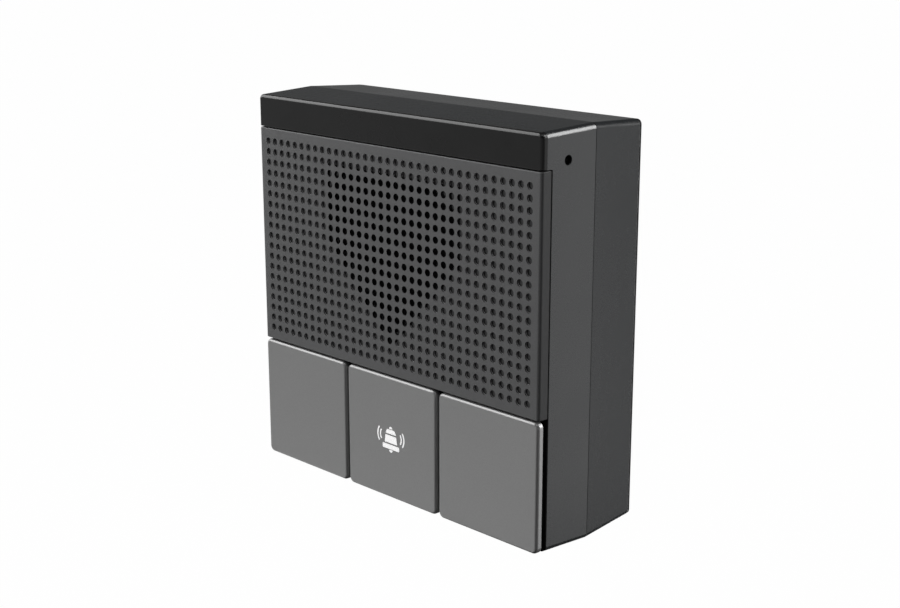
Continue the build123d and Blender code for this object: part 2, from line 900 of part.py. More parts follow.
def make_jack_contacts():
    x0, x1, back, front = jack_limits()
    wall_face = front - jack_wall
    first = jack_x - contact_pitch * (contact_count - 1) / 2
    end = recess_top_z + jack_mouth_depth
    start = end - jack_mouth_depth * 2 / 3
    contacts = []
    for i in range(contact_count):
        x = first + i * contact_pitch
        contacts.append(
            bar(x - contact_size / 2, x + contact_size / 2, wall_face - contact_size, wall_face, start, end)
        )
    return joined(contacts)


def terminal_limits(x, pitch, ways, margin=0.0):
    half = pitch * ways / 2
    return (x - half - margin, x + half + margin, main_board_back - terminal_height - margin, main_board_back)


def make_terminal(x, pitch, ways):
    # A push-in terminal: a wire entry and a smaller release slot for each way, in the lower face.
    x0, x1, back, front = terminal_limits(x, pitch, ways)
    body = bar(x0, x1, back, front, recess_top_z, recess_top_z + terminal_length)
    entry_out = front - terminal_height / 3
    release_out = back + terminal_height / 4
    for i in range(ways):
        way_x = x0 + (i + 0.5) * pitch
        for out, size in ((entry_out, terminal_entry), (release_out, terminal_release)):
            body -= bar(
                way_x - size / 2,
                way_x + size / 2,
                out - size / 2,
                out + size / 2,
                recess_top_z,
                recess_top_z + terminal_entry_depth,
            )
    return body


def make_shield_can():
    start = main_board_back - can_height
    can = block(can_size, can_size, start, main_board_back, can_x, can_z)
    inside = can_size - 2 * can_wall
    return can - block(inside, inside, start + can_wall, main_board_back, can_x, can_z)


def make_processor():
    return block(chip_size, chip_size, main_board_back - chip_height, main_board_back, can_x, can_z)


def make_line_transformer():
    start = main_board_back - transformer_height
    core = block(
        transformer_width, transformer_length, start, main_board_back, transformer_x, transformer_z
    )
    return chamfer(core.faces().sort_by(Axis.Y)[-1].edges(), small_edge)


def make_power_inductor():
    start = main_board_back - inductor_height
    core = slab(
        inductor_size, inductor_size, inductor_size / 8, start, main_board_back, inductor_x, inductor_z
    )
    well = rod(inductor_size * 0.3, start, start + inductor_height / 8, inductor_x, inductor_z)
    return core - well


def make_capacitors():
    start = main_board_back - capacitor_height
    cans = []
    for i in range(2):
        z = capacitor_z + i * capacitor_spacing
        can = rod(capacitor_radius, start, main_board_back, capacitor_x, z)
        low = main_board_back - capacitor_height / 5
        high = low + 2 * capacitor_crimp
        neck = capacitor_radius - capacitor_crimp
        cans.append(can - tube(capacitor_radius, neck, low, high, capacitor_x, z))
    return joined(cans)


key_connector_top = key_z + key_board_height / 2 - small_edge
main_connector_bottom = main_board_bottom_z + small_edge
key_ribbon_out = key_board_back - connector_height / 2
main_ribbon_out = main_board_front + connector_height / 2
ribbon_slot = ribbon_thickness + 2 * ribbon_fit


def make_key_connector():
    low = key_connector_top - connector_length
    z = (low + key_connector_top) / 2
    width = ribbon_width + 2 * connector_margin
    body = block(width, connector_length, key_board_back - connector_height, key_board_back, ribbon_x, z)
    slot_width = ribbon_width / 2 + ribbon_fit
    return body - bar(
        ribbon_x - slot_width,
        ribbon_x + slot_width,
        key_ribbon_out - ribbon_slot / 2,
        key_ribbon_out + ribbon_slot / 2,
        key_connector_top - ribbon_tuck - ribbon_fit,
        key_connector_top,
    )


def make_main_connector():
    z = main_connector_bottom + connector_length / 2
    width = ribbon_width + 2 * connector_margin
    body = block(width, connector_length, main_board_front, main_board_front + connector_height, ribbon_x, z)
    slot_width = ribbon_width / 2 + ribbon_fit
    return body - bar(
        ribbon_x - slot_width,
        ribbon_x + slot_width,
        main_ribbon_out - ribbon_slot / 2,
        main_ribbon_out + ribbon_slot / 2,
        main_connector_bottom,
        main_connector_bottom + ribbon_tuck + ribbon_fit,
    )


def make_key_ribbon():
    # The flat cable rises behind the key board, then slants back to the main board.
    points = [
        (ribbon_x, -key_ribbon_out, key_connector_top - ribbon_tuck),
        (ribbon_x, -key_ribbon_out, key_connector_top + ribbon_rise),
        (ribbon_x, -main_ribbon_out, main_connector_bottom - ribbon_rise),
        (ribbon_x, -main_ribbon_out, main_connector_bottom + ribbon_tuck),
    ]
    path = FilletPolyline(*points, radius=ribbon_bend)
    start = Plane(origin=points[0], x_dir=(1, 0, 0), z_dir=(0, 0, 1))
    return sweep(start * Rectangle(ribbon_width, ribbon_thickness), path=path)


def make_microphone():
    outer, inner = mic_wall()
    front = inner - boot_front
    return cross_rod(mic_radius, front - mic_length, front, mic_out, mic_z)


def make_microphone_boot():
    outer, inner = mic_wall()
    boot = cross_rod(boot_radius, inner - boot_length, inner, mic_out, mic_z)
    boot -= cross_rod(mic_radius + boot_fit, inner - boot_length, inner - boot_front, mic_out, mic_z)
    return boot - cross_rod(mic_port_radius, inner - boot_front, inner, mic_out, mic_z)


def make_rear_housing():
    form = rear_block(rear_rim_out, crease_out)
    form = fillet(form.faces().sort_by(Axis.Y)[-1].edges(), rear_edge_radius)
    shell = form - rear_hollow(rear_wall_out, crease_out)
    shell -= plate_slab(rear_rim_out, plate_thickness, plate_rim)
    rebate = crease_out - tongue_length - seam_gasket_thickness
    shell -= seam_slab(rebate, crease_out, tongue_inset - tongue_fit)
    shell += bar(
        -recess_half_width - recess_wall,
        recess_half_width + recess_wall,
        plate_thickness + wall / 2,
        recess_floor + recess_wall,
        recess_bottom_z - recess_wall,
        recess_top_z + recess_wall,
    )
    shell -= bar(
        -recess_half_width, recess_half_width, plate_thickness, recess_floor, recess_bottom_z, recess_top_z
    )
    for x0, x1, back, front in (
        jack_limits(jack_fit),
        terminal_limits(power_terminal_x, power_pitch, power_ways, jack_fit),
        terminal_limits(relay_terminal_x, relay_pitch, relay_ways, jack_fit),
    ):
        shell -= bar(x0, x1, back, recess_floor + recess_wall, recess_top_z, recess_top_z + recess_wall)
    return cut_rear_fixings(add_rear_bosses(shell))


def add_rear_bosses(shell):
    for x, z in board_spots:
        shell += rod(post_radius, rear_wall_out, main_board_back, x, z)
        shell -= pilot(x, z, main_board_back, -1)
    seat = plate_thickness + housing_screw_sink
    for x, z in housing_spots:
        shell += rod(rear_boss_radius, rear_wall_out, crease_out, x, z)
        shell -= rod(housing_screw_radius + shank_fit, plate_thickness, crease_out, x, z)
        shell -= rod(housing_screw_head_radius + head_fit, plate_thickness, seat, x, z)
    return shell


lock_floor_z = bottom_z - growth_at(lock_screw_out)
lock_pad_z = lock_floor_z + wall + lock_recess
lock_tab_z = lock_pad_z + lock_gap


def cut_rear_fixings(shell):
    for x, z in hook_spots:
        shell -= bar(
            x - hook_width / 2 - hook_fit,
            x + hook_width / 2 + hook_fit,
            plate_thickness,
            rear_wall_out,
            z - hook_lip - hook_fit,
            z + hook_post + hook_fit,
        )
    half = lock_tab_width / 2 + hook_fit
    shell -= bar(
        -half,
        half,
        plate_thickness,
        rear_wall_out,
        lock_tab_z - hook_fit,
        lock_tab_z + lock_tab_thickness + hook_fit,
    )
    pad_radius = lock_head_radius + wall
    shell += upright_rod(pad_radius, lock_floor_z + wall / 2, lock_pad_z, 0, lock_screw_out)
    shell -= upright_rod(
        housing_screw_radius + shank_fit, lock_floor_z - wall, lock_pad_z, 0, lock_screw_out
    )
    return shell - upright_rod(
        lock_head_radius + head_fit, lock_floor_z - wall, lock_floor_z + lock_recess, 0, lock_screw_out
    )


def make_seam_gasket():
    start = crease_out - tongue_length - seam_gasket_thickness
    end = crease_out - tongue_length
    return seam_slab(start, end, tongue_inset) - seam_slab(start, end, wall)


def make_wall_plate():
    plate = plate_slab(0, plate_flange, plate_flange_inset)
    plate += plate_slab(plate_flange, plate_thickness, plate_rim + plate_fit)
    plate -= slab(cable_hole_width, cable_hole_height, cable_hole_corner, 0, plate_thickness, 0, recess_z)
    for side in (-1, 1):
        plate -= rod(wall_screw_hole_radius, 0, plate_thickness, side * wall_screw_spacing / 2, recess_z)
    lip_start = rear_wall_out + hook_fit
    lip_end = lip_start + hook_lip_thickness
    for x, z in hook_spots:
        x0, x1 = x - hook_width / 2, x + hook_width / 2
        plate += bar(x0, x1, plate_thickness, lip_end, z, z + hook_post)
        plate += bar(x0, x1, lip_start, lip_end, z, z + hook_post + hook_lip)
    tab_top = lock_tab_z + lock_tab_thickness
    half = lock_tab_width / 2
    plate += bar(-half, half, plate_thickness, plate_thickness + lock_tab_length, lock_tab_z, tab_top)
    return plate - upright_rod(housing_screw_radius + thread_gap, lock_tab_z, tab_top, 0, lock_screw_out)


def make_lock_screw():
    seat = lock_floor_z + lock_recess
    low = seat - lock_head_height
    head = upright_rod(lock_head_radius, low, seat, 0, lock_screw_out)
    shank = upright_rod(
        housing_screw_radius, seat, lock_tab_z + lock_tab_thickness + thread_gap, 0, lock_screw_out
    )
    reach = lock_head_radius * 0.6
    slot = Pos(0, -lock_screw_out, low) * Box(2 * reach, drive_width, 2 * drive_depth)
    slot += Pos(0, -lock_screw_out, low) * Box(drive_width, 2 * reach, 2 * drive_depth)
    return head + shank - slot


def make_housing_screws():
    seat = plate_thickness + housing_screw_sink
    tip = crease_out + housing_screw_grip
    return joined([
        screw(x, z, seat, tip, housing_screw_radius, housing_screw_head_radius, housing_screw_head_height)
        for x, z in housing_spots
    ])


def make_small_screws(places, seat, way, through):
    return joined([small_screw(x, z, seat, way, through) for x, z in places])


parts = {
    "front_housing": make_front_housing(),
    "rear_housing": make_rear_housing(),
    "seam_gasket": make_seam_gasket(),
    "top_trim": make_top_trim(),
    "speaker_grille": make_speaker_grille(),
    "bell_inlay": make_bell_inlay(),
    "key_board": make_key_board(),
    "key_board_screws": make_small_screws(key_boss_spots, key_board_back, 1, board_thickness),
    "key_board_connector": make_key_connector(),
    "bell_leds": make_bell_leds(),
    "speaker_cloth": rod(
        chamber_radius - glue_gap, platform_back - cloth_thickness, platform_back, 0, grille_z
    ),
    "speaker_gasket": make_speaker_gasket(),
    "speaker_frame": make_speaker_frame(),
    "speaker_surround": make_speaker_surround(),
    "speaker_cone": make_speaker_cone(),
    "dust_cap": make_dust_cap(),
    "spider": make_spider(),
    "voice_coil": make_voice_coil(),
    "magnet_cup": make_magnet_cup(),
    "magnet": make_magnet(),
    "pole_plate": make_pole_plate(),
    "speaker_terminal_strip": make_terminal_strip(),
    "speaker_screws": make_small_screws(
        speaker_spots, flange_back, 1, flange_thickness + speaker_gasket_thickness
    ),
    "speaker_leads": make_speaker_leads(),
    "speaker_connector": make_plug(speaker_plug_x, grille_z + speaker_plug_above),
    "main_board": make_main_board(),
    "main_board_screws": make_small_screws(board_spots, main_board_front, -1, board_thickness),
    "main_board_connector": make_main_connector(),
    "key_ribbon": make_key_ribbon(),
    "ethernet_jack": make_ethernet_jack(),
    "jack_contacts": make_jack_contacts(),
    "power_terminal": make_terminal(power_terminal_x, power_pitch, power_ways),
    "relay_terminal": make_terminal(relay_terminal_x, relay_pitch, relay_ways),
    "shield_can": make_shield_can(),
    "processor": make_processor(),
    "line_transformer": make_line_transformer(),
    "power_inductor": make_power_inductor(),
    "smoothing_capacitors": make_capacitors(),
    "microphone": make_microphone(),
    "microphone_boot": make_microphone_boot(),
    "microphone_leads": make_microphone_leads(),
    "microphone_connector": make_plug(mic_plug_x, mic_plug_z),
    "housing_screws": make_housing_screws(),
    "wall_plate": make_wall_plate(),
    "lock_screw": make_lock_screw(),
}
for name, x in key_places.items():
    parts[name] = make_key(x)
    parts[name.replace("key", "dome")] = make_dome(x)
parts["middle_key"] -= parts["bell_inlay"]

os.makedirs("parts", exist_ok=True)
for name, shape in parts.items():
    export_step(shape, f"parts/{name}.step")
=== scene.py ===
import json
from math import pi, radians

import bmesh
import bpy
import numpy as np
from mathutils import Matrix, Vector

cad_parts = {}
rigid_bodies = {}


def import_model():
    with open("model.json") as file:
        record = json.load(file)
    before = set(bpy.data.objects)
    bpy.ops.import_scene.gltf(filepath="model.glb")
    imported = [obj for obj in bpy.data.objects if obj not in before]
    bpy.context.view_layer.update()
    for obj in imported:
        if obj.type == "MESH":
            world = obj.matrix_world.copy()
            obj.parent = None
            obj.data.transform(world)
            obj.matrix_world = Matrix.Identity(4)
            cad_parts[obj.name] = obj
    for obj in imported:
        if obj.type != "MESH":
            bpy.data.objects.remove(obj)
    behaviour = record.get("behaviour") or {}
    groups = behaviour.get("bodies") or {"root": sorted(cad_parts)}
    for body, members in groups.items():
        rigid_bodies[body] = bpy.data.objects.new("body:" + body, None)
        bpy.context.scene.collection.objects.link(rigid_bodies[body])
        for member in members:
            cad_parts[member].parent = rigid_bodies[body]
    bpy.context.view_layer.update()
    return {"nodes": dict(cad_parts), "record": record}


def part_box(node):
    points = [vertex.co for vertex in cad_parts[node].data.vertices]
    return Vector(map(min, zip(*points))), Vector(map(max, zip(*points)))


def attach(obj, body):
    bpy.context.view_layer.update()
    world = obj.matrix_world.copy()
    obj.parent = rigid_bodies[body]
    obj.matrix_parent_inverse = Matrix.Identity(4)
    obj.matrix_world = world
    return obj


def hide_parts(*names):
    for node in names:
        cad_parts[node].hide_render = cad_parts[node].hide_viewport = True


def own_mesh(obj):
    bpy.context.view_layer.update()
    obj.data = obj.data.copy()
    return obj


# Wall intercom: perforated speaker front, gloss trim strip above, three push keys below.
# Metres, +Z up, the front faces -Y and the wall is Y = 0.

for leftover in list(bpy.data.objects):
    bpy.data.objects.remove(leftover)
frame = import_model()
nodes = frame["nodes"]
record = frame["record"]
scene = bpy.context.scene
print("frame loaded:", len(nodes), "nodes")


# building blocks for objects and shaders

def addObject(name, data):
    thing = bpy.data.objects.new(name, data)
    scene.collection.objects.link(thing)
    return thing


def addNode(tree, kind, inputs=None, **settings):
    # inputs: socket name or number to a value, or to the socket that feeds it
    node = tree.nodes.new(kind)
    for name, value in settings.items():
        setattr(node, name, value)
    for name, value in (inputs or {}).items():
        if isinstance(value, bpy.types.NodeSocket):
            tree.links.new(value, node.inputs[name])
        else:
            node.inputs[name].default_value = value
    return node


def mathNode(tree, operation, first, second=0.0, clamp=False):
    inputs = {0: first, 1: second}
    return addNode(tree, "ShaderNodeMath", inputs, operation=operation, use_clamp=clamp).outputs[0]


def axes(tree, point):
    return addNode(tree, "ShaderNodeSeparateXYZ", {0: point}).outputs


def distance(tree, point, place):
    return addNode(tree, "ShaderNodeVectorMath", {0: point, 1: place}, operation="DISTANCE").outputs["Value"]


def spread(tree, value, low, high, start=0.25, end=0.75):
    # carries a pattern from start and end to low and high
    return addNode(tree, "ShaderNodeMapRange", {
        "Value": value, "From Min": start, "From Max": end, "To Min": low, "To Max": high,
    }).outputs[0]


def swung(tree, pattern, middle, swing):
    # a pattern as a swing either way of a middle value
    return spread(tree, pattern, middle - swing, middle + swing)


def past(tree, value, at, soft=2e-5):
    # 0 before the place, 1 past it
    return spread(tree, value, 0.0, 1.0, start=at - soft, end=at + soft)


def before(tree, value, at, soft=2e-5):
    # 1 before the place, 0 past it
    return spread(tree, value, 1.0, 0.0, start=at - soft, end=at + soft)


def between(tree, value, low, high):
    # 1 where the value lies between low and high
    return mathNode(tree, "MULTIPLY", past(tree, value, low), before(tree, value, high))


def mixValue(tree, share, first, second):
    # a number from first at 0 to second at 1
    return addNode(tree, "ShaderNodeMix", {0: share, 2: first, 3: second}, data_type="FLOAT").outputs[0]


def shade(tree, share, dark, light):
    # a colour from dark at 0 to light at 1; either may be a socket
    ends = [end if isinstance(end, bpy.types.NodeSocket) else (*end, 1) for end in (dark, light)]
    return addNode(tree, "ShaderNodeMix", {0: share, 6: ends[0], 7: ends[1]}, data_type="RGBA").outputs[2]


def seenRays(tree):
    # two masks: rays straight from the eye, and rays by way of a mirror or glass
    path = addNode(tree, "ShaderNodeLightPath").outputs
    mirrored = mathNode(tree, "ADD", path["Is Glossy Ray"], path["Is Transmission Ray"], clamp=True)
    return path["Is Camera Ray"], mirrored


# camera, floor, world and lamps

cameraLook = {
    "place": (0.3129, -0.3252, 0.1139),
    "azimuth": 45.33,     # degrees, turned left from looking along +Y
    "elevation": 14.80,   # degrees, looking down
    "lens": 60.314, "sensor": 36.0,   # mm
    "near": 0.01,
}


def addCamera(look):
    data = bpy.data.cameras.new("camera")
    data.sensor_fit = "HORIZONTAL"
    data.sensor_width = look["sensor"]
    data.lens = look["lens"]
    data.clip_start = look["near"]
    camera = addObject("camera", data)
    camera.location = look["place"]
    camera.rotation_euler = (radians(90 - look["elevation"]), 0, radians(look["azimuth"]))
    scene.camera = camera


floorLook = {
    "level": -0.62, "half": 16.0, "colour": (0.86, 0.86, 0.86), "whiteShare": 0.99, "mirrorShare": 0.35,
    # dark mats that only mirrors and light meet: middle, inner and outer radius
    "mats": [((1.2, -1.2), (1.1, 2.15)), ((0.25, 0.35), (0.75, 1.1))],
    "matColour": (0.05, 0.05, 0.05),
}


def addFloor(look):
    # one square far below the object, pale, and close to white where it is looked at
    corners = np.array([(-1, -1), (1, -1), (1, 1), (-1, 1)]) * look["half"]
    points = np.column_stack([corners, np.full(4, look["level"])])
    mesh = bpy.data.meshes.new("floor")
    mesh.from_pydata(points.tolist(), [], [(0, 1, 2, 3)])
    floor = addObject("floor", mesh)
    material = bpy.data.materials.new("paleFloor")
    material.use_nodes = True
    tree = material.node_tree
    tree.nodes.clear()
    direct, mirrored = seenRays(tree)
    point = addNode(tree, "ShaderNodeTexCoord").outputs["Object"]
    bare = 1.0
    for middle, (inner, outer) in look["mats"]:
        far = distance(tree, point, (*middle, look["level"]))
        bare = mathNode(tree, "MULTIPLY", bare, spread(tree, far, 0.0, 1.0, start=inner, end=outer))
    white = mathNode(tree, "MULTIPLY", direct, look["whiteShare"])
    glow = mathNode(tree, "MULTIPLY", mathNode(tree, "MULTIPLY", mirrored, look["mirrorShare"]), bare)
    share = mathNode(tree, "ADD", white, glow, clamp=True)
    colour = shade(tree, bare, look["matColour"], look["colour"])
    matt = addNode(tree, "ShaderNodeBsdfDiffuse", {"Color": colour})
    lit = addNode(tree, "ShaderNodeEmission", {"Color": (1, 1, 1, 1), "Strength": 1.0})
    mix = addNode(tree, "ShaderNodeMixShader", {0: share, 1: matt.outputs[0], 2: lit.outputs[0]})
    addNode(tree, "ShaderNodeOutputMaterial", {"Surface": mix.outputs[0]})
    mesh.materials.append(material)


worldLook = {"fill": 0.14, "horizon": 0.31, "zenith": 0.03, "dimAt": 0.30}


def addWorld(look):
    # white to the eye; mirrors see a pale cove that dims with height; everything else gets a soft fill
    world = bpy.data.worlds.new("studio")
    scene.world = world
    world.use_nodes = True
    tree = world.node_tree
    tree.nodes.clear()
    direct, mirrored = seenRays(tree)
    direction = addNode(tree, "ShaderNodeTexCoord").outputs["Generated"]
    cove = addNode(tree, "ShaderNodeMapRange", {
        "Value": axes(tree, direction)["Z"], "From Min": 0.0, "From Max": look["dimAt"],
        "To Min": look["horizon"], "To Max": look["zenith"],
    }, interpolation_type="SMOOTHSTEP").outputs[0]
    strength = mixValue(tree, direct, mixValue(tree, mirrored, look["fill"], cove), 1.0)
    back = addNode(tree, "ShaderNodeBackground", {"Color": (1, 1, 1, 1), "Strength": strength})
    addNode(tree, "ShaderNodeOutputWorld", {"Surface": back.outputs[0]})


softboxes = {
    # towards: from the object to the lamp; size in metres; radiance of its face
    "keyLeft": {"towards": (-0.734, -0.476, 0.485), "distance": 1.3, "size": (1.3, 1.25), "radiance": 3.1},
    "rimRight": {"towards": (0.664, 0.598, 0.448), "distance": 1.3, "size": (0.44, 1.00), "radiance": 7.6},
    "sideRight": {"towards": (0.753, 0.618, -0.225), "distance": 0.9, "size": (0.30, 0.54), "radiance": 1.22},
    "topFront": {"towards": (0.40, -0.38, 0.83), "distance": 1.3, "size": (0.45, 0.45), "radiance": 2.5},
    "backSoft": {"towards": (-0.20, 0.93, -0.31), "distance": 0.9, "size": (0.55, 0.55), "radiance": 4.0},
}


def addSoftbox(name, look):
    # a rectangle that faces the origin, with one side level
    towards = np.array(look["towards"])
    towards = towards / np.linalg.norm(towards)
    side = np.cross((0, 0, 1), towards)
    side = side / np.linalg.norm(side)
    width, height = look["size"]
    data = bpy.data.lights.new(name, "AREA")
    data.shape = "RECTANGLE"
    data.size = width
    data.size_y = height
    data.energy = look["radiance"] * pi * width * height
    matrix = np.eye(4)
    matrix[:3, :3] = np.column_stack([side, np.cross(towards, side), towards])
    matrix[:3, 3] = towards * look["distance"]
    lamp = addObject(name, data)
    lamp.matrix_world = Matrix(matrix.tolist())


addCamera(cameraLook)
addFloor(floorLook)
addWorld(worldLook)
for name, look in softboxes.items():
    addSoftbox(name, look)
scene.view_settings.view_transform = "Standard"
print("camera, floor, world and", len(softboxes), "softboxes set")


# building blocks for the finishes

def startFinish(name, look):
    # a material whose even values stand on the shader's own sockets
    material = bpy.data.materials.new(name)
    material.use_nodes = True
    tree = material.node_tree
    shader = tree.nodes["Principled BSDF"]
    shader.inputs["Metallic"].default_value = look.get("metallic", 0.0)
    shader.inputs["Specular IOR Level"].default_value = look.get("specular", 0.5)
    shader.inputs["Sheen Weight"].default_value = look.get("sheen", 0.0)
    shader.inputs["Coat Weight"].default_value = look.get("coat", 0.0)
    shader.inputs["Coat Roughness"].default_value = 0.1
    point = addNode(tree, "ShaderNodeTexCoord").outputs["Object"]
    return material, tree, shader, point


def link(tree, socket, shader, name):
    tree.links.new(socket, shader.inputs[name])


def relief(tree, shader, height, depth):
    bump = addNode(tree, "ShaderNodeBump", {"Height": height, "Distance": depth, "Strength": 1.0})
    link(tree, bump.outputs[0], shader, "Normal")


def noise(tree, point, scale, detail=3.0):
    inputs = {"Vector": point, "Scale": scale, "Detail": detail}
    return addNode(tree, "ShaderNodeTexNoise", inputs).outputs["Fac"]


def cells(tree, point, scale, randomness=1.0):
    inputs = {"Vector": point, "Scale": scale, "Randomness": randomness}
    return addNode(tree, "ShaderNodeTexVoronoi", inputs).outputs


def bands(tree, point, direction, pitch):
    # sine stripes, one per pitch, across the named axis; the wave texture turns 20 radians per unit of scale
    turn = 20
    inputs = {"Vector": point, "Scale": 2 * pi / (turn * pitch)}
    wave = addNode(tree, "ShaderNodeTexWave", inputs, wave_type="BANDS", bands_direction=direction,
                   wave_profile="SIN")
    return wave.outputs["Fac"]


def stretched(tree, point, stretch):
    return addNode(tree, "ShaderNodeMapping", {"Vector": point, "Scale": stretch}).outputs[0]


def scaled(colour, share):
    return tuple(channel * share for channel in colour)


def mottled(tree, point, colour, swing, scale):
    # slow cloudy change of a colour, swing either way
    cloud = spread(tree, noise(tree, point, scale), 0, 1)
    return shade(tree, cloud, scaled(colour, 1 - swing), scaled(colour, 1 + swing))


def flaked(tree, point, colour, swing, scale):
    # tiny flakes that differ in tone, swing either way
    grey = addNode(tree, "ShaderNodeSeparateColor", {0: cells(tree, point, scale)["Color"]}).outputs[0]
    return shade(tree, grey, scaled(colour, 1 - swing), scaled(colour, 1 + swing))


# finishes

def mouldedPlastic(name, look):
    # spark-eroded grain as relief, a faint cloudiness in colour and gloss
    material, tree, shader, point = startFinish(name, look)
    fine = noise(tree, point, look.get("grain", 2400), detail=2.0)
    cloud = noise(tree, point, scale=45)
    body = mottled(tree, point, look["colour"], look.get("swing", 0.06), scale=70)
    # painted light: the face towards the wall can be painted paler
    if "paintedLightWallColour" in look:
        start, end = look["wallRamp"]
        onWall = spread(tree, axes(tree, point)["Y"], 0.0, 1.0, start, end)
        body = shade(tree, onWall, body, mottled(tree, point, look["paintedLightWallColour"], swing=0.08, scale=90))
    link(tree, body, shader, "Base Color")
    grainGloss = swung(tree, fine, middle=0.0, swing=0.04)
    cloudGloss = swung(tree, cloud, look["roughness"], swing=0.03)
    link(tree, mathNode(tree, "ADD", grainGloss, cloudGloss), shader, "Roughness")
    relief(tree, shader, fine, look.get("depth", 4e-6))
    return material


caseLook = {
    "colour": (0.0252, 0.0275, 0.0292), "roughness": 0.27, "specular": 0.42,
    # face right behind the perforated sheet: span of distances from the wall; its colour is painted light
    # seen through the holes
    "ledge": (0.0394, 0.0402), "paintedLightLedgeColour": (0.040, 0.040, 0.041),
    # shadow lines at the joins, the rim's only below the trim
    "crease": (0.02025, 0.02055), "creaseShare": 0.8, "rim": (0.0367, 0.03725), "rimTop": 0.0482,
    "paintedShadowColour": (0.008, 0.008, 0.008),
    # painted shadow in the mouth of the microphone port
    "port": (0.0585, -0.0310, 0.0501), "portRadius": 0.00138,
    # long edges rubbed to a polish: |x| + |z| from which they start, at the front and at the crease
    "edge": (0.1149, 0.1166), "edgeSpan": (0.0406, 0.0204), "edgeSoft": 1e-4, "edgeSpecular": 1.0,
}


def caseFinish(name, look):
    # moulded grain, painted shadow where the shells and the grille meet and in the mouth of the port, and a
    # face painted paler as light where the grille lies on it
    material, tree, shader, point = startFinish(name, look)
    fine = noise(tree, point, scale=5200, detail=2.0)
    cloud = noise(tree, point, scale=40)
    x, y, z = axes(tree, point)
    out = mathNode(tree, "MULTIPLY", y, -1.0)

    # painted shadow lines: at the grille's rim below the trim and at the crease, with the specular cut there
    # too
    belowTrim = before(tree, z, look["rimTop"], soft=1e-4)
    rimLine = mathNode(tree, "MULTIPLY", between(tree, out, *look["rim"]), belowTrim)
    creaseLine = mathNode(tree, "MULTIPLY", between(tree, out, *look["crease"]), look["creaseShare"])
    # painted shadow in the mouth of the port
    mouth = before(tree, distance(tree, point, look["port"]), look["portRadius"], soft=4e-5)
    line = mathNode(tree, "MAXIMUM", mathNode(tree, "MAXIMUM", rimLine, creaseLine), mouth)
    body = shade(tree, line, mottled(tree, point, look["colour"], swing=0.05, scale=60), look["paintedShadowColour"])
    # painted light: the face behind the sheet is paler
    ledge = between(tree, out, *look["ledge"])
    link(tree, shade(tree, ledge, body, look["paintedLightLedgeColour"]), shader, "Base Color")

    atFront, atCrease = look["edgeSpan"]
    edgeStart = spread(tree, out, *look["edge"], start=atFront, end=atCrease)
    corner = mathNode(tree, "ADD", mathNode(tree, "ABSOLUTE", x), mathNode(tree, "ABSOLUTE", z))
    beyond = mathNode(tree, "SUBTRACT", corner, edgeStart)
    rubbed = spread(tree, beyond, 0.0, 1.0, start=0.0, end=look["edgeSoft"])
    rubbed = mathNode(tree, "MULTIPLY", rubbed, past(tree, out, atCrease))
    polish = mixValue(tree, rubbed, look["specular"], look["edgeSpecular"])
    link(tree, mixValue(tree, line, polish, 0.0), shader, "Specular IOR Level")

    grainGloss = swung(tree, fine, middle=0.0, swing=0.015)
    cloudGloss = swung(tree, cloud, look["roughness"], swing=0.02)
    link(tree, mathNode(tree, "ADD", grainGloss, cloudGloss), shader, "Roughness")
    relief(tree, shader, fine, depth=0.35e-6)
    return material


trimLook = {
    "colour": (0.0135, 0.0135, 0.0135), "roughness": 0.16, "specular": 0.32,
    "edgeAt": 0.0571, "edgeSpecular": 0.60, "edgeRoughness": 0.07,   # the top edge is handled most
    "endAt": 0.0583, "endSpecular": 0.13,                            # the two ends are left as moulded
}


def glossPanel(name, look):
    # polished moulding: long soft waves in the surface and a few dull specks
    material, tree, shader, point = startFinish(name, look)
    waves = noise(tree, point, scale=160, detail=1.0)
    specks = spread(tree, cells(tree, point, scale=900)["Distance"], 0.10, 0.0, start=0.02, end=0.07)
    link(tree, mottled(tree, point, look["colour"], swing=0.12, scale=90), shader, "Base Color")
    place = axes(tree, point)
    edge = past(tree, place["Z"], look["edgeAt"], soft=5e-5)
    end = past(tree, mathNode(tree, "ABSOLUTE", place["X"]), look["endAt"], soft=1e-4)
    polish = mixValue(tree, edge, look["specular"], look["edgeSpecular"])
    link(tree, mixValue(tree, end, polish, look["endSpecular"]), shader, "Specular IOR Level")
    dull = mathNode(tree, "ADD", specks, mathNode(tree, "MULTIPLY", edge, look["edgeRoughness"]))
    gloss = swung(tree, waves, look["roughness"], swing=0.02)
    link(tree, mathNode(tree, "ADD", gloss, dull), shader, "Roughness")
    relief(tree, shader, waves, depth=1.2e-6)
    return material


grilleLook = {
    "colour": (0.102, 0.103, 0.105), "roughness": 0.42, "specular": 0.6, "flake": 0.10,
    "field": (0.0572, -0.0188, 0.0473),   # half width, lowest and highest z of the sheet inside its folds
    # walls of the holes: spans of distances from the wall over which they begin and turn paler; painted shade
    # near the front, painted light deeper in
    "sunk": (0.0405, 0.04058), "wallShadeColour": (0.06, 0.06, 0.061),
    "deep": (0.04015, 0.0404), "paintedLightDeepColour": (0.40, 0.40, 0.41),
    # holes with nothing behind: half width, top and point of the speaker window; their walls painted near
    # black as shadow
    "window": (0.0285, 0.0402, -0.0111), "paintedShadowOpenColour": (0.004, 0.004, 0.004),
    # the folded sides are painted darker, a painted shade
    "fold": (0.0582, 0.0584), "foldShadeShare": 0.45, "foldSpecular": 0.25,
}


